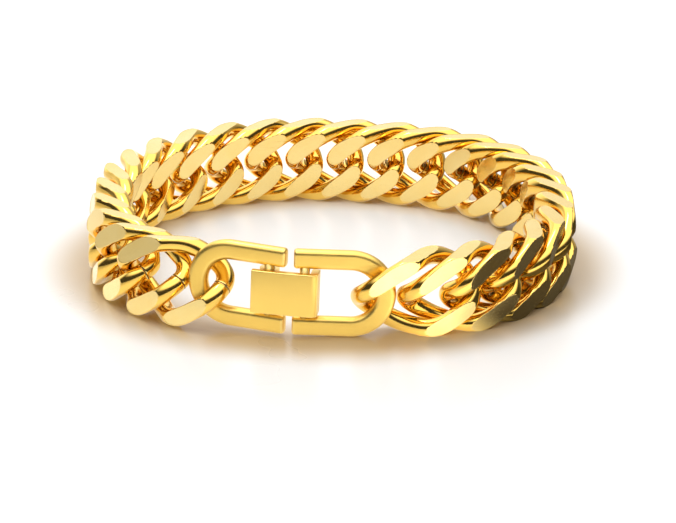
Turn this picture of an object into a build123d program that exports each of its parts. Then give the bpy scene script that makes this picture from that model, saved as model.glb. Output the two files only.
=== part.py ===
from build123d import *
import math
import os

# Chain
link_pitch = 6.82
link_count = 26
wire_diameter = 2.75
chain_height = 12.5
outer_flat = 2.12          # from a link's middle out to its outer flats
inner_flat = 3.64          # from a link's middle in to its inner flats
end_clearance = 0.13       # room for the next wire inside the end of a link
top_cut = 0.6              # wire taken off by the flats on top and underneath
end_rise = 1.56            # half the straight run across the end of a link
end_sway = 2.49            # how far that run leans out of the link's plane
strand_corner = 2.41       # where a strand turns over the top, from the link's middle
strand_sway = 2.09
link_bend_radius = 25.7    # each link is bent to lie round the wrist
arc_share = 0.45           # share of a run that the arc at its end takes up
end_roll = 6.2             # degrees that an end link rolls to pass through its horseshoe
roll_links = 10            # links over which that roll dies away
end_turn = 15.4            # degrees that an end link is turned from its horseshoe, seen from above

# Lie of the chain, seen from above with the clasp at the front
route_shares = [            # points of the route, in shares of its width
    (0.4151, -0.4393), (0.5468, -0.2438), (0.5599, -0.0034), (0.4865, 0.2284), (0.3111, 0.4033), (0.0800, 0.4810),
    (-0.1591, 0.4938), (-0.3824, 0.4076), (-0.5449, 0.2328), (-0.6031, 0.0026), (-0.5714, -0.2466),
]

# Clasp
clasp_overhang = 0.75      # clasp's height over the chain's
clasp_lift = 0.27          # between the floor and the middle of the clasp's lower edge
clasp_half_length = 15.43  # from the middle of the closed clasp to the end of a horseshoe
clasp_tilt = 2.1           # degrees that the clasp's right end dips
bar_width = 2.95
bar_thickness = 1.8
bar_round = 0.8
arm_gap = 0.9              # between the ends of the two horseshoes
end_slack = 0.72           # room between a horseshoe's arc and its end link
end_link_inset = 0.59      # how far an end link lies inward of its horseshoe
pin_diameter = 1.5
pin_inset = 2.6            # from the ends of the arms to the hinge pin
catch_inset = 1.65         # from the ends of the arms to the catch bar
catch_across = -0.08699    # where the catch bar lies, in shares of the loop's width
catch_back = -0.565
plate_yaw = -9.15          # degrees, seen from above
left_yaw = -18.75

# Clasp plate
plate_side_gap = 0.4
plate_proud = 1.05         # plate's face in front of the horseshoes
plate_wall = 1.1
plate_tail = 2.45          # from the hinge pin to the plate's free left edge
plate_crown = 0.15         # rise of the plate's middle over its edges
barrel_wall = 0.7
pin_clearance = 0.06
catch_clearance = 0.2
hook_wall = 1.2
hook_reach = 1.1           # how far the hook goes back past the catch bar's middle
hook_round = 0.9

half_length = link_pitch + wire_diameter / 2 + end_clearance
clasp_height = chain_height + clasp_overhang
clasp_level = clasp_height / 2 + clasp_lift
loop_width = link_pitch * link_count / math.pi
half_height = (chain_height - wire_diameter) / 2 + top_cut
clasp_reach = clasp_half_length - bar_width - end_slack - wire_diameter / 2 + half_length
plate_height = clasp_height - 2 * bar_width - 2 * plate_side_gap
plate_face = bar_thickness / 2 + plate_proud
pin_from_middle = arm_gap / 2 + pin_inset
catch_from_middle = arm_gap / 2 + catch_inset


def bent(along, inward, up):
    """A point of a straight link, moved in towards the wrist by the link's bend."""
    return Vector(along, inward + along**2 / (2 * link_bend_radius), up)


def strand_corners():
    """Corners of the upper strand from the right end to the left, with one from each end run below."""
    return [
        bent(half_length, -end_sway, -end_rise),
        bent(half_length, end_sway, end_rise),
        bent(strand_corner, strand_sway, half_height),
        bent(-strand_corner, -strand_sway, half_height),
        bent(-half_length, -end_sway, end_rise),
        bent(-half_length, end_sway, -end_rise),
    ]


def corner_radii(points):
    """Largest tangent arcs: each takes the same share of the shorter run beside its corner."""
    radii = []
    for before, corner, after in zip(points, points[1:], points[2:]):
        run = min((corner - before).length, (after - corner).length)
        turn = (corner - before).get_angle(after - corner)
        radii.append(arc_share * run / math.tan(math.radians(turn / 2)))
    return radii


def make_link():
    corners = strand_corners()
    seam = (corners[0] + corners[1]) * 0.5
    far_end = (corners[-2] + corners[-1]) * 0.5
    with BuildPart() as half_link:
        with BuildLine():
            FilletPolyline(seam, *corners[1:-1], far_end, radius=corner_radii(corners))
        with BuildSketch(Plane(origin=seam, z_dir=corners[1] - corners[0])):
            Circle(wire_diameter / 2)
        sweep()
    with BuildPart() as link:
        add(half_link.part)
        add(half_link.part, rotation=(0, 180, 0))
        with BuildSketch(Plane.XY.offset(-chain_height / 2)):
            with Locations((0, (inner_flat - outer_flat) / 2)):
                Rectangle(4 * half_length, inner_flat + outer_flat)
        extrude(amount=chain_height, mode=Mode.INTERSECT)
    return link.part


def heading(angle):
    return Vector(math.cos(math.radians(angle)), math.sin(math.radians(angle)))


def link_end(middle, yaw, reach):
    """Middle of the end link held by a horseshoe whose clasp middle and yaw are given."""
    along = heading(yaw)
    inward = Vector(-along.Y, along.X)
    return middle + along * reach + inward * end_link_inset


catch = Vector(catch_across * loop_width, catch_back * loop_width)
pin = catch - heading(plate_yaw) * (pin_from_middle + catch_from_middle)
right_middle = catch - heading(0) * catch_from_middle
left_middle = pin + heading(left_yaw) * pin_from_middle


def chain_route():
    """The route whose length is what the links take up end to end."""
    start = link_end(right_middle, 0, clasp_reach)
    finish = link_end(left_middle, left_yaw, -clasp_reach)
    wanted = (link_count - 1) * link_pitch
    span = wanted / math.pi
    for _ in range(8):
        spots = [Vector(across * span, back * span) for across, back in route_shares]
        route = Spline(start, *spots, finish, mode=Mode.PRIVATE)
        span = span * wanted / route.length
    return route


def link_roll(index):
    """Roll of a link about its length: the end links lean opposite ways, the middle ones stand."""
    from_right = max(0, 1 - index / roll_links)
    from_left = max(0, 1 - (link_count - 1 - index) / roll_links)
    return end_roll * (from_right - from_left)


def link_heading(route, index):
    """Direction of a link seen from above; the end links keep their turn from their horseshoes."""
    if index == 0:
        return heading(end_turn)
    if index == link_count - 1:
        return heading(left_yaw - end_turn)
    return route.tangent_at(index * route.length / (link_count - 1), position_mode=PositionMode.LENGTH)


def link_location(route, index):
    spot = route.position_at(index * route.length / (link_count - 1), position_mode=PositionMode.LENGTH)
    stand = Plane(origin=(spot.X, spot.Y, 0), x_dir=link_heading(route, index), z_dir=(0, 0, 1))
    return Location(stand) * Location((0, 0, 0), (link_roll(index), 0, 0))


def make_horseshoe(pin_from_end):
    """The right horseshoe, with its pin; the left one is the same turned round."""
    arc_middle = clasp_half_length - clasp_height / 2
    arm_start = arm_gap / 2
    arm_middle = (arm_start + arc_middle) / 2
    arm_length = arc_middle - arm_start
    with BuildPart() as horseshoe:
        with BuildSketch(Plane.XZ):
            with Locations((arm_middle, 0)):
                Rectangle(arm_length, clasp_height)
            with Locations((arc_middle, 0)):
                Circle(clasp_height / 2)
                Circle(clasp_height / 2 - bar_width, mode=Mode.SUBTRACT)
            with Locations((arm_middle, 0)):
                Rectangle(arm_length, clasp_height - 2 * bar_width, mode=Mode.SUBTRACT)
        extrude(amount=bar_thickness / 2, both=True)
        fillet(horseshoe.edges(), radius=bar_round)
        with BuildSketch(Plane.XY.offset(-clasp_height / 2 + bar_width / 2)):
            with Locations((arm_start + pin_from_end, 0)):
                Circle(pin_diameter / 2)
        extrude(amount=clasp_height - bar_width)
    return horseshoe.part


def make_plate():
    """Plate in plan: a crowned wall, a barrel round the hinge pin and a hook over the catch bar."""
    left = -pin_from_middle - plate_tail
    wall_back = -plate_face + plate_wall
    barrel = pin_diameter / 2 + barrel_wall
    right = catch_from_middle + pin_diameter / 2 + catch_clearance + hook_wall
    hook_front = right - hook_wall
    with BuildPart() as plate:
        with BuildSketch(Plane.XY.offset(-plate_height / 2)) as plan:
            with BuildLine():
                front = ThreePointArc(
                    (left, -plate_face + plate_crown),
                    ((left + right) / 2, -plate_face),
                    (right, -plate_face + plate_crown),
                )
                Polyline(
                    front @ 1, (right, hook_reach), (hook_front, hook_reach),
                    (hook_front, wall_back), (left, wall_back), front @ 0,
                )
            make_face()
            outer_corner = plan.vertices().group_by(Axis.X)[-1].sort_by(Axis.Y)[0]
            fillet(outer_corner, radius=hook_round)
            with Locations((-pin_from_middle, 0)):
                Circle(barrel)
            with Locations((-pin_from_middle, wall_back / 2)):
                Rectangle(2 * barrel, -wall_back)
            with Locations((-pin_from_middle, 0)):
                Circle(pin_diameter / 2 + pin_clearance, mode=Mode.SUBTRACT)
        extrude(amount=plate_height)
    return plate.part


link_shape = make_link()
route = chain_route()
pieces = {}
for index in range(link_count):
    link = link_shape.moved(link_location(route, index))
    pieces[f"chain_link_{index + 1:02d}"] = link.moved(Location((0, 0, -link.bounding_box().min.Z)))
plate_middle = pin + heading(plate_yaw) * pin_from_middle
clasp_frame = Location((catch.X, catch.Y, clasp_level), (0, clasp_tilt, 0))
right_place = clasp_frame * Location(right_middle - catch)
left_place = clasp_frame * Location(left_middle - catch, (0, 0, left_yaw + 180))
plate_place = clasp_frame * Location(plate_middle - catch, (0, 0, plate_yaw))
pieces["clasp_right_link"] = make_horseshoe(catch_inset).moved(right_place)
pieces["clasp_left_link"] = make_horseshoe(pin_inset).moved(left_place)
pieces["clasp_plate"] = make_plate().moved(plate_place)

boxes = [piece.bounding_box() for piece in pieces.values()]
low = [min(getattr(box.min, axis) for box in boxes) for axis in "XYZ"]
high = [max(getattr(box.max, axis) for box in boxes) for axis in "XYZ"]
to_origin = Location((-(low[0] + high[0]) / 2, -(low[1] + high[1]) / 2, -low[2]))
os.makedirs("parts", exist_ok=True)
for name, piece in pieces.items():
    placed = piece.moved(to_origin)
    placed.label = name
    export_step(placed, f"parts/{name}.step")

print("box", [round(b - a, 3) for a, b in zip(low, high)], "moved by", to_origin.position)
print("hinge pin at", (to_origin * clasp_frame * Location(pin - catch)).position)
print("clear of the floor", pieces["clasp_right_link"].bounding_box().min.Z, pieces["clasp_left_link"].bounding_box().min.Z)
print("route length", route.length, "volume", sum(piece.volume for piece in pieces.values()))
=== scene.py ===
import math

import bmesh
import bpy
import numpy as np
from mathutils import Matrix, Vector


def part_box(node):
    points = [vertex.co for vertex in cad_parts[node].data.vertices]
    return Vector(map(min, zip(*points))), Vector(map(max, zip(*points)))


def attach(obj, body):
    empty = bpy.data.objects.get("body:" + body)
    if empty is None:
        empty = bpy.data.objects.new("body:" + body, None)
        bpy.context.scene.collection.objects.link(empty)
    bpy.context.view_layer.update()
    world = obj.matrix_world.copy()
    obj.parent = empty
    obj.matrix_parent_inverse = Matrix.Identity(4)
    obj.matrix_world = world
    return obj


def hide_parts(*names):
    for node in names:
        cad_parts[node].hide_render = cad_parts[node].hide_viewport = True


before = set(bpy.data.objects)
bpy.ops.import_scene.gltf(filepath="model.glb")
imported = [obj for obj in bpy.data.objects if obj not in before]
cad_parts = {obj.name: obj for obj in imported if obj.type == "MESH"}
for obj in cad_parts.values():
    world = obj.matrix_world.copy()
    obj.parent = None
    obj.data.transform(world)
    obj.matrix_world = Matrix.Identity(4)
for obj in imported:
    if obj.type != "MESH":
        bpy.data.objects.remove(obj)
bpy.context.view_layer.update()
mm = 0.001

# Chain sizes, in millimetres
link_pitch = 6.82
link_count = 26
wire_diameter = 2.75
chain_height = 12.5
outer_flat = 2.12          # from a link's middle out to its outer flats
inner_flat = 3.64          # from a link's middle in to its inner flats
end_clearance = 0.13       # room for the next wire inside the end of a link
top_cut = 0.6              # wire taken off by the flats on top and underneath
end_rise = 1.56            # half the straight run across the end of a link
end_sway = 2.49            # how far that run leans out of the link's plane
strand_corner = 2.41       # where a strand turns over the top, from the link's middle
strand_sway = 2.09
link_bend_radius = 25.7    # each link is bent to lie round the wrist
arc_share = 0.45           # share of a run that the arc at its end takes up
end_roll = 6.2             # degrees that an end link rolls to pass through its horseshoe
roll_links = 10            # links over which that roll dies away
end_turn = 15.4            # degrees that an end link is turned from its horseshoe
route_shares = [           # points of the route, in shares of its width
    (0.4151, -0.4393), (0.5468, -0.2438), (0.5599, -0.0034), (0.4865, 0.2284),
    (0.3111, 0.4033), (0.0800, 0.4810), (-0.1591, 0.4938), (-0.3824, 0.4076),
    (-0.5449, 0.2328), (-0.6031, 0.0026), (-0.5714, -0.2466),
]
route_samples = 200        # places worked out between two points of the route
route_rounds = 8           # times that its width is corrected to the length of the chain
wire_sides = 48
arc_step = 4.0             # degrees of bend between the rings of a wire
flat_edge_width = 0.09     # rounding left by polishing round each cut flat
flat_edge_drop = 0.05
seam_half_width = 0.09     # the soldered joint in the right end of each link
seam_depth = 0.12

# Clasp sizes, in millimetres
clasp_overhang = 0.75
clasp_lift = 0.27
clasp_half_length = 15.43
clasp_tilt = 2.1           # degrees that the clasp's right end dips
bar_width = 2.95
bar_thickness = 1.8
arm_gap = 0.9
end_slack = 0.72
end_link_inset = 0.59
pin_diameter = 1.5
pin_inset = 2.6
catch_inset = 1.65
catch_across = -0.08699    # where the catch bar lies, in shares of the loop's width
catch_back = -0.565
plate_yaw = -9.15          # degrees, seen from above
left_yaw = -18.75
plate_side_gap = 0.4
plate_proud = 1.05
plate_wall = 1.1
plate_tail = 2.45
plate_crown = 0.15
barrel_wall = 0.7
pin_clearance = 0.06
catch_clearance = 0.2
hook_wall = 1.2
hook_reach = 1.1
hook_round = 0.9
bar_round = 0.8
arm_end_round = 0.45
round_steps = 8            # faces across the rounding of a bar's edge
arm_end_steps = 5
arc_steps = 60
pin_sides = 32
plate_edge_round = 0.16
plate_edge_steps = 4
plate_divisions = (2, 4, 6)    # where the wall is divided to take its crown
crown_depth = 0.5          # how much of the wall's front takes it
hook_steps = 10
barrel_steps = 48
sharp_turn = 40            # degrees between faces from which an edge of the plate is rounded

# Edge wear, in degrees between the faces that meet there
unworn_turn = 9.0          # no wear yet
worn_turn = 20.0           # and how many more show full wear

# Brightness of the studio's surroundings
ceiling_glow = 1.9
front_glow = 0.06
left_glow = 1.5            # behind the bracelet, on the left
right_glow = 0.5           # and on the right
glow_tint = (1.0, 0.99, 0.98, 1)

# Floor
floor_white = (0.80, 0.80, 0.80)
floor_painted_warm_shade = (0.50, 0.35, 0.17)        # painted warm shadow and reflection of the chain on the floor
floor_painted_reflection_bright = (1.0, 0.98, 0.94)  # painted reflection: how the floor looks in the gold, at its brightest
# painted reflection: how the floor looks in the gold, at its darkest
floor_painted_reflection_dark = (0.04, 0.03, 0.02)
# painted glow of the floor, seen only in the gold
painted_floor_glow = (1.0, 0.98, 0.92)
loop_half_width = 37
loop_half_depth = 34
loop_shade = 0.52          # painted shade: brightness of the floor inside the loop, in the gold

half_length = link_pitch + wire_diameter / 2 + end_clearance
clasp_height = chain_height + clasp_overhang
clasp_level = clasp_height / 2 + clasp_lift
half_height = (chain_height - wire_diameter) / 2 + top_cut
clasp_reach = clasp_half_length - bar_width - end_slack - wire_diameter / 2 + half_length
plate_height = clasp_height - 2 * bar_width - 2 * plate_side_gap
plate_face = bar_thickness / 2 + plate_proud
pin_from_middle = arm_gap / 2 + pin_inset
catch_from_middle = arm_gap / 2 + catch_inset


def heading(angle):
    return Vector((math.cos(math.radians(angle)), math.sin(math.radians(angle)), 0))


# Where the clasp and the chain lie
def link_end(middle, yaw, reach):
    along = heading(yaw)
    inward = Vector((-along.y, along.x, 0))
    return middle + along * reach + inward * end_link_inset


loop_width = link_pitch * link_count / math.pi
catch = Vector((catch_across * loop_width, catch_back * loop_width, 0))
pin = catch - heading(plate_yaw) * (pin_from_middle + catch_from_middle)
right_middle = catch - heading(0) * catch_from_middle
left_middle = pin + heading(left_yaw) * pin_from_middle


def smooth_route(points):
    """Cubic through the points: returns how far along each sample is, its place and its direction."""
    points = np.array(points)
    chords = np.linalg.norm(np.diff(points, axis=0), axis=1)
    knots = np.concatenate([[0], np.cumsum(chords)])
    count = len(points)
    slopes_of = np.zeros((count, count))
    wanted = np.zeros((count, 2))
    slopes_of[0, 0] = slopes_of[-1, -1] = 1
    for axis in range(2):
        for row, part in ((0, slice(0, 4)), (-1, slice(count - 4, count))):
            cubic = np.polyfit(knots[part], points[part, axis], 3)
            wanted[row, axis] = np.polyval(np.polyder(cubic), knots[row])
    for i in range(1, count - 1):
        before, after = chords[i - 1], chords[i]
        slopes_of[i, i - 1] = after
        slopes_of[i, i] = 2 * (before + after)
        slopes_of[i, i + 1] = before
        coming = (points[i] - points[i - 1]) / before
        going = (points[i + 1] - points[i]) / after
        wanted[i] = 3 * (coming * after + going * before)
    slopes = np.linalg.solve(slopes_of, wanted)
    places = []
    for i in range(count - 1):
        t = np.linspace(0, 1, route_samples, endpoint=i == count - 2)[:, None]
        start = (2 * t**3 - 3 * t**2 + 1) * points[i] + (t**3 - 2 * t**2 + t) * chords[i] * slopes[i]
        finish = (3 * t**2 - 2 * t**3) * points[i + 1] + (t**3 - t**2) * chords[i] * slopes[i + 1]
        places.append(start + finish)
    places = np.vstack(places)
    along = np.concatenate([[0], np.cumsum(np.linalg.norm(np.diff(places, axis=0), axis=1))])
    directions = np.gradient(places, along, axis=0)
    return along, places, directions


def chain_route():
    """The route whose length is what the links take up end to end."""
    start = link_end(right_middle, 0, clasp_reach)
    finish = link_end(left_middle, left_yaw, -clasp_reach)
    wanted = (link_count - 1) * link_pitch
    span = wanted / math.pi
    for _ in range(route_rounds):
        spots = [(across * span, back * span) for across, back in route_shares]
        along, places, directions = smooth_route([(start.x, start.y), *spots, (finish.x, finish.y)])
        span = span * wanted / along[-1]
    return along, places, directions


def link_roll(index):
    """Roll of a link about its length: the end links lean opposite ways, the middle ones stand."""
    from_right = max(0, 1 - index / roll_links)
    from_left = max(0, 1 - (link_count - 1 - index) / roll_links)
    return end_roll * (from_right - from_left)


def link_place(route, index):
    along, places, directions = route
    spot = index * along[-1] / (link_count - 1)
    x, y = (np.interp(spot, along, places[:, axis]) for axis in range(2))
    turn = math.atan2(*(np.interp(spot, along, directions[:, axis]) for axis in (1, 0)))
    if index == 0:
        turn = math.radians(end_turn)
    if index == link_count - 1:
        turn = math.radians(left_yaw - end_turn)
    roll = math.radians(link_roll(index))
    return Matrix.Translation((x, y, 0)) @ Matrix.Rotation(turn, 4, "Z") @ Matrix.Rotation(roll, 4, "X")


# One link, in its own frame: x along the chain, y towards the wrist, z up
def bent(along, inward, up):
    """A point of a straight link, moved in towards the wrist by the link's bend."""
    return Vector((along, inward + along**2 / (2 * link_bend_radius), up))


def strand_corners():
    """Corners of the upper strand from the right end to the left, with one from each end run below."""
    return [
        bent(half_length, -end_sway, -end_rise),
        bent(half_length, end_sway, end_rise),
        bent(strand_corner, strand_sway, half_height),
        bent(-strand_corner, -strand_sway, half_height),
        bent(-half_length, -end_sway, end_rise),
        bent(-half_length, end_sway, -end_rise),
    ]


def edges_in(geometry):
    return [item for item in geometry if isinstance(item, bmesh.types.BMEdge)]


def verts_in(geometry):
    return [item for item in geometry if isinstance(item, bmesh.types.BMVert)]


def run_wire(bm, ring, step):
    """Carries the open end of a wire straight on."""
    grown = bmesh.ops.extrude_edge_only(bm, edges=ring)["geom"]
    bmesh.ops.translate(bm, vec=step, verts=verts_in(grown))
    return edges_in(grown)


def bend_wire(bm, ring, before, corner, after, radius):
    """Carries the open end of a wire round a corner by an arc."""
    coming = (corner - before).normalized()
    going = (after - corner).normalized()
    turn = coming.angle(going)
    towards = (going - coming).normalized()
    middle = corner + towards * radius / math.cos(turn / 2)
    steps = max(2, round(math.degrees(turn) / arc_step))
    swept = bmesh.ops.spin(
        bm, geom=ring, cent=middle, axis=coming.cross(going), angle=turn, steps=steps,
        use_merge=False, use_duplicate=False
    )
    return edges_in(swept["geom_last"])


def cut_flat(bm, point, outward):
    """Cuts a flat across the wires, and rounds its edge a little as polishing does."""
    everything = bm.verts[:] + bm.edges[:] + bm.faces[:]
    cut = bmesh.ops.bisect_plane(bm, geom=everything, plane_co=point, plane_no=outward, clear_outer=True)
    rim = edges_in(cut["geom_cut"])
    flats = bmesh.ops.holes_fill(bm, edges=rim, sides=0)["faces"]
    for flat in flats:
        if flat.normal.dot(outward) < 0:
            flat.normal_flip()
    bmesh.ops.inset_individual(
        bm, faces=flats, thickness=flat_edge_width, depth=-flat_edge_drop, use_even_offset=True
    )
    return flats


def shape_link():
    """The wire of one link with its flats, as a mesh that every link copies."""
    corners = strand_corners()
    seam = (corners[0] + corners[1]) / 2
    far_end = (corners[-2] + corners[-1]) / 2
    leaving = (corners[1] - corners[0]).normalized()
    arriving = (corners[-1] - corners[-2]).normalized()
    bm = bmesh.new()
    seam_ring = bmesh.ops.create_circle(
        bm, cap_ends=False, segments=wire_sides, radius=wire_diameter / 2
    )["verts"]
    facing = leaving.to_track_quat("Z", "Y").to_matrix().to_4x4()
    bmesh.ops.transform(bm, matrix=Matrix.Translation(seam) @ facing, verts=seam_ring)
    ring = run_wire(bm, bm.edges[:], leaving * seam_half_width)
    at = seam + leaving * seam_half_width
    for before, corner, after in zip(corners, corners[1:], corners[2:]):
        run = min((corner - before).length, (after - corner).length)
        turn = (corner - before).angle(after - corner)
        radius = arc_share * run / math.tan(turn / 2)
        arc_start = corner + (before - corner).normalized() * arc_share * run
        ring = run_wire(bm, ring, arc_start - at)
        ring = bend_wire(bm, ring, before, corner, after, radius)
        at = corner + (after - corner).normalized() * arc_share * run
    run_wire(bm, ring, far_end - arriving * seam_half_width - at)
    half = bm.verts[:] + bm.edges[:] + bm.faces[:]
    other = bmesh.ops.duplicate(bm, geom=half)["geom"]
    turned = Matrix.Rotation(math.pi, 3, "Y")
    bmesh.ops.rotate(bm, cent=(0, 0, 0), matrix=turned, verts=verts_in(other))
    open_rims = [edge for edge in bm.edges if edge.is_boundary]
    for side in (1, -1):
        rims = [edge for edge in open_rims if side * (edge.verts[0].co.x + edge.verts[1].co.x) > 0]
        bmesh.ops.bridge_loops(bm, edges=rims)
    bmesh.ops.recalc_face_normals(bm, faces=bm.faces[:])
    for face in bm.faces:
        face.smooth = True
    # The seam ring is pinched in to a groove, and the faces round it take a dark brown: painted shade in
    # the groove
    for vert in seam_ring:
        vert.co += (seam - vert.co).normalized() * seam_depth
        for face in vert.link_faces:
            face.material_index = link_materials.index(seam_groove_shade)
    flats = []
    flats += cut_flat(bm, Vector((0, -outer_flat, 0)), Vector((0, -1, 0)))
    flats += cut_flat(bm, Vector((0, inner_flat, 0)), Vector((0, 1, 0)))
    flats += cut_flat(bm, Vector((0, 0, chain_height / 2)), Vector((0, 0, 1)))
    flats += cut_flat(bm, Vector((0, 0, -chain_height / 2)), Vector((0, 0, -1)))
    for flat in flats:
        flat.smooth = False
        flat.material_index = link_materials.index(cut_facet_gold)
    mark_edge_wear(bm)
    return bm


def mark_edge_wear(bm):
    """Writes how sharply the surface turns at each vertex, for the wear that the materials show."""
    wear = bm.verts.layers.float.new("edge_wear")
    for vert in bm.verts:
        turns = [edge.calc_face_angle(0) for edge in vert.link_edges if edge.is_manifold]
        sharpest = math.degrees(max(turns, default=0))
        vert[wear] = min(1, max(0, (sharpest - unworn_turn) / worn_turn))


def shape_horseshoe(pin_from_end):
    """The right horseshoe with its pin, in the clasp's frame; the left one is the same turned round."""
    arc_middle = clasp_half_length - clasp_height / 2
    arm_start = arm_gap / 2
    arm_level = (clasp_height - bar_width) / 2
    arm = Vector((arc_middle - arm_start, 0, 0))
    bm = bmesh.new()
    section = bmesh.ops.create_grid(bm, x_segments=1, y_segments=1, size=0.5)["verts"]
    bmesh.ops.scale(bm, vec=(bar_width, bar_thickness, 1), verts=section)
    bmesh.ops.bevel(
        bm, geom=section, offset=bar_round, segments=round_steps, profile=0.5,
        affect="VERTICES", material=-1
    )
    upright = Matrix.Rotation(math.pi / 2, 3, "Y")
    bmesh.ops.rotate(bm, cent=(0, 0, 0), matrix=upright, verts=bm.verts)
    bmesh.ops.translate(bm, vec=(arm_start, 0, arm_level), verts=bm.verts)
    first_end = bm.faces[:]
    ring = run_wire(bm, bm.edges[:], arm)
    swept = bmesh.ops.spin(
        bm, geom=ring, cent=(arc_middle, 0, 0), axis=(0, 1, 0), angle=math.pi, steps=arc_steps,
        use_merge=False, use_duplicate=False
    )
    ring = run_wire(bm, edges_in(swept["geom_last"]), -arm)
    last_end = bmesh.ops.holes_fill(bm, edges=ring, sides=0)["faces"]
    bmesh.ops.recalc_face_normals(bm, faces=bm.faces[:])
    rims = [edge for face in first_end + last_end for edge in face.edges]
    bmesh.ops.bevel(
        bm, geom=rims, offset=arm_end_round, segments=arm_end_steps, profile=0.5,
        affect="EDGES", material=-1, clamp_overlap=False
    )
    for face in bm.faces:
        face.smooth = True
    add_pin(bm, arm_start + pin_from_end, clasp_height - bar_width)
    mark_edge_wear(bm)
    return bm


def add_pin(bm, along, length):
    """The round pin that joins the two arms of a horseshoe."""
    radius = pin_diameter / 2
    made = bmesh.ops.create_cone(
        bm, cap_ends=True, segments=pin_sides, radius1=radius, radius2=radius, depth=length
    )["verts"]
    bmesh.ops.translate(bm, vec=(along, 0, 0), verts=made)
    for face in {face for vert in made for face in vert.link_faces}:
        face.smooth = len(face.verts) == 4


def shape_plate():
    """A crowned wall whose right edge rolls back over the catch bar, and a barrel on the pin."""
    left = -pin_from_middle - plate_tail
    wall_back = -plate_face + plate_wall
    barrel = pin_diameter / 2 + barrel_wall
    right = catch_from_middle + pin_diameter / 2 + catch_clearance + hook_wall
    hook_front = right - hook_wall
    bm = bmesh.new()
    wall = bmesh.ops.create_cube(bm, size=1)["verts"]
    bmesh.ops.scale(bm, vec=(right - left, plate_wall, plate_height), verts=wall)
    bmesh.ops.translate(bm, vec=((left + right) / 2, -plate_face + plate_wall / 2, 0), verts=wall)
    for cut in (hook_front, *(left + division for division in plate_divisions)):
        everything = bm.verts[:] + bm.edges[:] + bm.faces[:]
        bmesh.ops.bisect_plane(bm, geom=everything, plane_co=(cut, 0, 0), plane_no=(1, 0, 0))
    lip = [face for face in bm.faces if face.normal.y > 0.9 and face.calc_center_median().x > hook_front]
    rolled = bmesh.ops.extrude_face_region(bm, geom=lip)["geom"]
    bmesh.ops.translate(bm, vec=(0, hook_reach - wall_back, 0), verts=verts_in(rolled))
    bmesh.ops.delete(bm, geom=lip, context="FACES")
    bmesh.ops.recalc_face_normals(bm, faces=bm.faces[:])
    outer_corner = [
        edge for edge in bm.edges
        if all(vert.co.x > right - 0.01 and vert.co.y < -plate_face + 0.01 for vert in edge.verts)
    ]
    bmesh.ops.bevel(
        bm, geom=outer_corner, offset=hook_round, segments=hook_steps, profile=0.5,
        affect="EDGES", material=-1, clamp_overlap=False
    )
    sharp = [
        edge for edge in bm.edges
        if edge.is_manifold and edge.calc_face_angle() > math.radians(sharp_turn)
    ]
    bmesh.ops.bevel(
        bm, geom=sharp, offset=plate_edge_round, segments=plate_edge_steps, profile=0.5,
        affect="EDGES", material=-1, clamp_overlap=True
    )
    for vert in bm.verts:
        if vert.co.y < -plate_face + crown_depth:
            share = (vert.co.x - (left + right) / 2) / ((right - left) / 2)
            vert.co.y += plate_crown * share**2
    for face in bm.faces:
        face.smooth = True
    wall_of_barrel = bmesh.ops.create_grid(bm, x_segments=1, y_segments=1, size=0.5)["verts"]
    bore = pin_diameter / 2 + pin_clearance
    bmesh.ops.scale(bm, vec=(barrel - bore, plate_height, 1), verts=wall_of_barrel)
    upright = Matrix.Rotation(math.pi / 2, 3, "X")
    bmesh.ops.rotate(bm, cent=(0, 0, 0), matrix=upright, verts=wall_of_barrel)
    bmesh.ops.translate(bm, vec=(-pin_from_middle + (barrel + bore) / 2, 0, 0), verts=wall_of_barrel)
    section = list({face for vert in wall_of_barrel for face in vert.link_faces})
    edges = list({edge for face in section for edge in face.edges})
    bmesh.ops.spin(
        bm, geom=edges, cent=(-pin_from_middle, 0, 0), axis=(0, 0, 1), angle=2 * math.pi,
        steps=barrel_steps, use_merge=True, use_duplicate=False
    )
    bmesh.ops.delete(bm, geom=section, context="FACES")
    bmesh.ops.recalc_face_normals(bm, faces=bm.faces[:])
    mark_edge_wear(bm)
    return bm


def piece_from(bm, name, materials, body, node):
    mesh = bpy.data.meshes.new(name)
    bm.to_mesh(mesh)
    bm.free()
    piece = bpy.data.objects.new(name, mesh)
    bpy.context.scene.collection.objects.link(piece)
    for material in materials:
        mesh.materials.append(material)
    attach(piece, body)
    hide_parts(node)
    return piece


def seat_on_node(bm, node):
    """Moves a piece the last few microns onto the CAD piece that it stands for."""
    low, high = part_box(node)
    for axis in range(3):
        places = [vert.co[axis] for vert in bm.verts]
        shift = Vector()
        shift[axis] = (low[axis] + high[axis]) / 2 - (min(places) + max(places)) / 2
        bmesh.ops.translate(bm, vec=shift, verts=bm.verts)


# Materials
tone_fall = 0.94           # the darkest tone of a gold, as a share of its colour


def add_node(material, kind, settings=(), **inputs):
    node = material.node_tree.nodes.new(kind)
    for name, value in settings:
        setattr(node, name, value)
    for name, value in inputs.items():
        node.inputs[name.replace("_", " ")].default_value = value
    return node


def join(material, source, target):
    material.node_tree.links.new(source, target)


def streaks(material, length, width, turn, softness):
    """Fine marks of the given length and width, in millimetres, as a factor from 0 to 1."""
    place = add_node(material, "ShaderNodeTexCoord")
    stretch = add_node(material, "ShaderNodeMapping")
    stretch.inputs["Rotation"].default_value = [math.radians(angle) for angle in turn]
    stretch.inputs["Scale"].default_value = (1 / length, 1 / width, 1 / width)
    marks = add_node(material, "ShaderNodeTexNoise", Scale=1 / mm, Detail=3.0, Roughness=0.6)
    sift = add_node(material, "ShaderNodeMapRange", From_Min=0.5 - softness, From_Max=0.5 + softness)
    join(material, place.outputs["Object"], stretch.inputs["Vector"])
    join(material, stretch.outputs["Vector"], marks.inputs["Vector"])
    join(material, marks.outputs["Fac"], sift.inputs["Value"])
    return sift.outputs["Result"]


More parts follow.
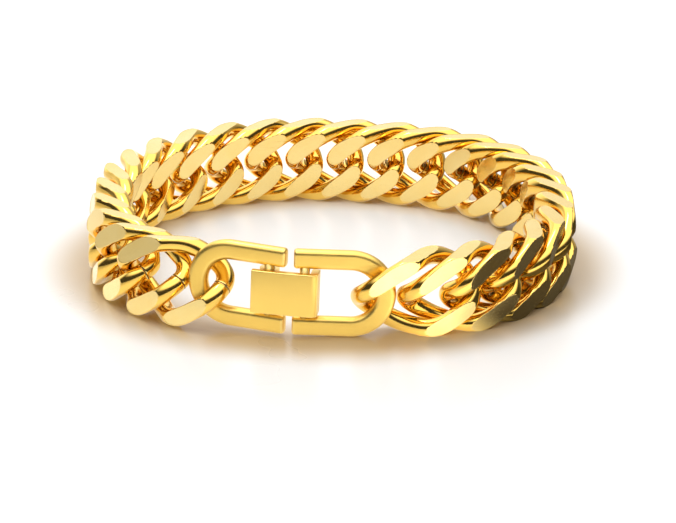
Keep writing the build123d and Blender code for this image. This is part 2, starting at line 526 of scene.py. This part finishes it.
def blend(material, factor, first, second):
    """Mixes two values or two sockets by a factor."""
    mix = add_node(material, "ShaderNodeMix", [("data_type", "FLOAT")])
    join(material, factor, mix.inputs[0])
    for socket, value in ((mix.inputs[2], first), (mix.inputs[3], second)):
        if isinstance(value, (int, float)):
            socket.default_value = value
        else:
            join(material, value, socket)
    return mix.outputs[0]


def gold(name, colour, worn_colour, roughness, grain, grain_rise, scratch_rise, mark_depth):
    """Gold with a slow change of tone, polishing grain, stray scratches and brighter worn edges."""
    material = bpy.data.materials.new(name)
    material.use_nodes = True
    shader = material.node_tree.nodes["Principled BSDF"]
    shader.inputs["Metallic"].default_value = 1.0
    grain_length, grain_width, grain_turn = grain
    grain_marks = streaks(material, grain_length, grain_width, grain_turn, softness=0.22)
    scratches = streaks(material, length=5.0, width=0.1, turn=(0, 25, 35), softness=0.03)
    cross_scratches = streaks(material, length=4.0, width=0.09, turn=(10, -30, -50), softness=0.03)
    tone = streaks(material, length=6.0, width=6.0, turn=(0, 0, 0), softness=0.3)
    wear = add_node(material, "ShaderNodeAttribute", [("attribute_name", "edge_wear")])
    worn = add_node(material, "ShaderNodeMath", [("operation", "MULTIPLY")])
    join(material, wear.outputs["Fac"], worn.inputs[0])
    join(material, blend(material, tone, 0.5, 1.0), worn.inputs[1])
    toned = add_node(material, "ShaderNodeMix", [("data_type", "RGBA")])
    toned.inputs[6].default_value = (*colour, 1)
    toned.inputs[7].default_value = (*[part * tone_fall for part in colour], 1)
    join(material, tone, toned.inputs[0])
    edged = add_node(material, "ShaderNodeMix", [("data_type", "RGBA")])
    edged.inputs[7].default_value = (*worn_colour, 1)
    join(material, worn.outputs[0], edged.inputs[0])
    join(material, toned.outputs[2], edged.inputs[6])
    join(material, edged.outputs[2], shader.inputs["Base Color"])
    scratched = add_node(material, "ShaderNodeMath", [("operation", "MULTIPLY")])
    join(material, scratches, scratched.inputs[0])
    join(material, cross_scratches, scratched.inputs[1])
    grained = blend(material, grain_marks, roughness, roughness + grain_rise)
    marked = add_node(material, "ShaderNodeMath", [("operation", "MULTIPLY_ADD")])
    marked.inputs[1].default_value = scratch_rise
    join(material, scratched.outputs[0], marked.inputs[0])
    join(material, grained, marked.inputs[2])
    join(material, marked.outputs[0], shader.inputs["Roughness"])
    height = blend(material, scratched.outputs[0], grain_marks, 0.0)
    bump = add_node(material, "ShaderNodeBump", Strength=1.0, Distance=mark_depth * mm)
    join(material, height, bump.inputs["Height"])
    join(material, bump.outputs["Normal"], shader.inputs["Normal"])
    return material


polished_gold = gold(
    "polished_gold", colour=(0.93, 0.60, 0.13), worn_colour=(1.0, 0.76, 0.30), roughness=0.07,
    grain=(1.2, 0.15, (0, 0, 0)), grain_rise=0.04, scratch_rise=0.12, mark_depth=0.0003
)
cut_facet_gold = gold(
    "cut_facet_gold", colour=(0.95, 0.62, 0.12), worn_colour=(1.0, 0.80, 0.36), roughness=0.14,
    grain=(0.8, 0.06, (0, 40, 0)), grain_rise=0.05, scratch_rise=0.10, mark_depth=0.0003
)
satin_gold = gold(
    "satin_gold", colour=(0.94, 0.64, 0.15), worn_colour=(0.99, 0.77, 0.32), roughness=0.27,
    grain=(0.9, 0.07, (0, 0, 0)), grain_rise=0.1, scratch_rise=0.1, mark_depth=0.003
)
# Painted shade: the dark brown of the faces in each link's seam groove
seam_groove_shade = gold(
    "seam_groove_shade", colour=(0.20, 0.11, 0.03), worn_colour=(0.30, 0.17, 0.05), roughness=0.5,
    grain=(0.3, 0.1, (0, 0, 0)), grain_rise=0.2, scratch_rise=0.1, mark_depth=0.004
)
link_materials = [polished_gold, cut_facet_gold, seam_groove_shade]

# The chain
link_bm = shape_link()
route = chain_route()
for index in range(link_count):
    node = f"chain_link_{index + 1:02d}"
    bm = link_bm.copy()
    bmesh.ops.transform(bm, matrix=Matrix.Scale(mm, 4) @ link_place(route, index), verts=bm.verts)
    seat_on_node(bm, node)
    piece = piece_from(bm, f"gold_link_{index + 1:02d}", link_materials, "bracelet", node)
link_bm.free()

# The clasp
plate_middle = pin + heading(plate_yaw) * pin_from_middle
right_horseshoe = shape_horseshoe(catch_inset)
left_horseshoe = shape_horseshoe(pin_inset)
clasp_pieces = [
    ("satin_right_horseshoe", "clasp_right_link", "bracelet", right_horseshoe, right_middle, 0),
    ("satin_left_horseshoe", "clasp_left_link", "bracelet", left_horseshoe, left_middle, left_yaw + 180),
    ("satin_clasp_plate", "clasp_plate", "plate", shape_plate(), plate_middle, plate_yaw),
]
catch_place = catch + Vector((0, 0, clasp_level))
clasp_frame = Matrix.Translation(catch_place) @ Matrix.Rotation(math.radians(clasp_tilt), 4, "Y")
for name, node, body, bm, middle, yaw in clasp_pieces:
    place = clasp_frame @ Matrix.Translation(middle - catch) @ Matrix.Rotation(math.radians(yaw), 4, "Z")
    bmesh.ops.transform(bm, matrix=Matrix.Scale(mm, 4) @ place, verts=bm.verts)
    seat_on_node(bm, node)
    piece = piece_from(bm, name, [satin_gold], body, node)

# Floor, light and camera
floor_bm = bmesh.new()
bmesh.ops.create_grid(floor_bm, x_segments=1, y_segments=1, size=3.0)
floor_mesh = bpy.data.meshes.new("floor")
floor_bm.to_mesh(floor_mesh)
floor_bm.free()
floor = bpy.data.objects.new("floor", floor_mesh)
bpy.context.scene.collection.objects.link(floor)
floor_material = bpy.data.materials.new("pale_floor")
floor_material.use_nodes = True
floor_shader = floor_material.node_tree.nodes["Principled BSDF"]
floor_shader.inputs["IOR"].default_value = 1.6
# This emission is painted glow, seen only in the gold's reflections
floor_shader.inputs["Emission Strength"].default_value = 0.7
floor_sheen = streaks(floor_material, length=30.0, width=30.0, turn=(0, 0, 0), softness=0.3)
join(floor_material, blend(floor_material, floor_sheen, 0.26, 0.31), floor_shader.inputs["Roughness"])
floor_place = add_node(floor_material, "ShaderNodeTexCoord")


def floor_rise(value, start, end, low, high):
    """Goes smoothly from low to high while a value grows from start to end."""
    rise = add_node(
        floor_material, "ShaderNodeMapRange", [("interpolation_type", "SMOOTHSTEP")],
        From_Min=start, From_Max=end, To_Min=low, To_Max=high
    )
    join(floor_material, value, rise.inputs["Value"])
    return rise.outputs["Result"]


def floor_along(across, back):
    """How far a place on the floor lies along a direction, in millimetres."""
    along = add_node(floor_material, "ShaderNodeVectorMath", [("operation", "DOT_PRODUCT")])
    along.inputs[1].default_value = (across / mm, back / mm, 0)
    join(floor_material, floor_place.outputs["Object"], along.inputs[0])
    return along.outputs["Value"]


def floor_math(operation, first, second):
    joint = add_node(floor_material, "ShaderNodeMath", [("operation", operation)])
    join(floor_material, first, joint.inputs[0])
    join(floor_material, second, joint.inputs[1])
    return joint.outputs["Value"]


def floor_mix(factor, first, second):
    mix = add_node(floor_material, "ShaderNodeMix", [("data_type", "RGBA")])
    join(floor_material, factor, mix.inputs[0])
    mix.inputs[6].default_value = (*first, 1)
    mix.inputs[7].default_value = (*second, 1)
    return mix.outputs[2]


# Painted reflection: how bright the floor looks in the gold, less to the left, most in front of the
# right-hand links, painted dark beyond them to the right, and painted shade inside the loop
left_fall = floor_rise(floor_along(1, 0), -70, -25, 0.35, 0.62)
bright_spot = floor_rise(floor_along(1, 0), 5, 22, 0.0, 0.8)
behind_spot = floor_rise(floor_along(0.35, 0.94), -36, -17, 0.0, 1.0)
right_of_spot = floor_rise(floor_along(1, 0), 12, 28, 0.0, 1.0)
not_dark = add_node(floor_material, "ShaderNodeMath", [("operation", "SUBTRACT")])
not_dark.inputs[0].default_value = 1.0
join(floor_material, floor_math("MULTIPLY", behind_spot, right_of_spot), not_dark.inputs[1])
lit_tone = floor_math("ADD", left_fall, bright_spot)
outside_tone = floor_math("MULTIPLY", lit_tone, not_dark.outputs["Value"])
loop_scale = add_node(floor_material, "ShaderNodeVectorMath", [("operation", "MULTIPLY")])
loop_scale.inputs[1].default_value = (1 / (loop_half_width * mm), 1 / (loop_half_depth * mm), 0)
join(floor_material, floor_place.outputs["Object"], loop_scale.inputs[0])
loop_reach = add_node(floor_material, "ShaderNodeVectorMath", [("operation", "LENGTH")])
join(floor_material, loop_scale.outputs["Vector"], loop_reach.inputs[0])
from_middle = loop_reach.outputs["Value"]    # 1 at the chain
tone = blend(floor_material, floor_rise(from_middle, 0.75, 1.0, 0.0, 1.0), loop_shade, outside_tone)
painted_floor_reflection = floor_mix(tone, floor_painted_reflection_dark, floor_painted_reflection_bright)

# How it looks by itself: a painted warm shadow and reflection of the chain on both sides of it
painted_shade_inside = floor_rise(from_middle, 0.66, 0.94, 0.0, 1.0)
painted_shade_outside = floor_rise(from_middle, 1.0, 1.27, 0.9, 0.0)
painted_shade_ring = floor_math("MULTIPLY", painted_shade_inside, painted_shade_outside)
floor_by_itself = floor_mix(painted_shade_ring, floor_white, floor_painted_warm_shade)

# Only rays that the gold reflects see the painted reflection; the camera sees the floor by itself
seen_in_gold = add_node(floor_material, "ShaderNodeLightPath").outputs["Is Glossy Ray"]
floor_colour = add_node(floor_material, "ShaderNodeMix", [("data_type", "RGBA")])
join(floor_material, seen_in_gold, floor_colour.inputs[0])
join(floor_material, floor_by_itself, floor_colour.inputs[6])
join(floor_material, painted_floor_reflection, floor_colour.inputs[7])
join(floor_material, floor_colour.outputs[2], floor_shader.inputs["Base Color"])
# Painted glow: the floor glows only for rays that the gold reflects, as bright as its painted reflection
# there
glow = floor_math("MULTIPLY", seen_in_gold, tone)
join(floor_material, floor_mix(glow, (0, 0, 0), painted_floor_glow), floor_shader.inputs["Emission Color"])
floor_mesh.materials.append(floor_material)

world = bpy.data.worlds.new("studio")
bpy.context.scene.world = world
world.use_nodes = True
sky = world.node_tree
sky_place = sky.nodes.new("ShaderNodeTexCoord")
sky_axes = sky.nodes.new("ShaderNodeSeparateXYZ")
sky.links.new(sky_place.outputs["Generated"], sky_axes.inputs["Vector"])


def sky_rise(axis, start, end, low, high):
    """Brightness that goes smoothly from low to high as the direction's part along an axis grows."""
    rise = sky.nodes.new("ShaderNodeMapRange")
    rise.interpolation_type = "SMOOTHSTEP"
    rise.inputs["From Min"].default_value = start
    rise.inputs["From Max"].default_value = end
    rise.inputs["To Min"].default_value = low
    rise.inputs["To Max"].default_value = high
    sky.links.new(sky_axes.outputs[axis], rise.inputs["Value"])
    return rise.outputs["Result"]


def sky_join(operation, first, second):
    joint = sky.nodes.new("ShaderNodeMath")
    joint.operation = operation
    sky.links.new(first, joint.inputs[0])
    sky.links.new(second, joint.inputs[1])
    return joint.outputs["Value"]


ceiling = sky_rise("Z", 0.48, 0.78, front_glow, ceiling_glow)
behind = sky_rise("Y", 0.1, 0.75, 0.0, 1.0)
backdrop = sky_join("MULTIPLY", behind, sky_rise("X", -0.5, 0.7, left_glow, right_glow))
sky.links.new(sky_join("MAXIMUM", ceiling, backdrop), sky.nodes["Background"].inputs["Strength"])
sky.nodes["Background"].inputs["Color"].default_value = glow_tint


def softbox(name, place, aim, size, power):
    light = bpy.data.lights.new(name, "AREA")
    light.shape = "RECTANGLE"
    light.size, light.size_y = size
    light.energy = power
    lamp = bpy.data.objects.new(name, light)
    lamp.location = place
    lamp.rotation_euler = (Vector(aim) - Vector(place)).to_track_quat("-Z", "Y").to_euler()
    bpy.context.scene.collection.objects.link(lamp)


softbox("top_light", place=(-0.10, 0.05, 0.45), aim=(0, 0, 0), size=(0.16, 0.10), power=0.35)
bpy.context.scene.view_settings.view_transform = "Standard"

camera_distance = 0.527
camera_tilt = math.radians(20.1)
camera_aim = Vector((0.99, 1.74, 6.0)) * mm
aim_drop = math.radians(0.66)      # how far below that point the camera looks
lens_data = bpy.data.cameras.new("photo_camera")
lens_data.lens = 182.7
lens_data.sensor_width = 36.0
camera = bpy.data.objects.new("photo_camera", lens_data)
forward = Vector((0, math.cos(camera_tilt), -math.sin(camera_tilt)))
camera.location = camera_aim - forward * camera_distance
camera.rotation_euler = (math.pi / 2 - camera_tilt - aim_drop, 0, 0)
bpy.context.scene.collection.objects.link(camera)
bpy.context.scene.camera = camera
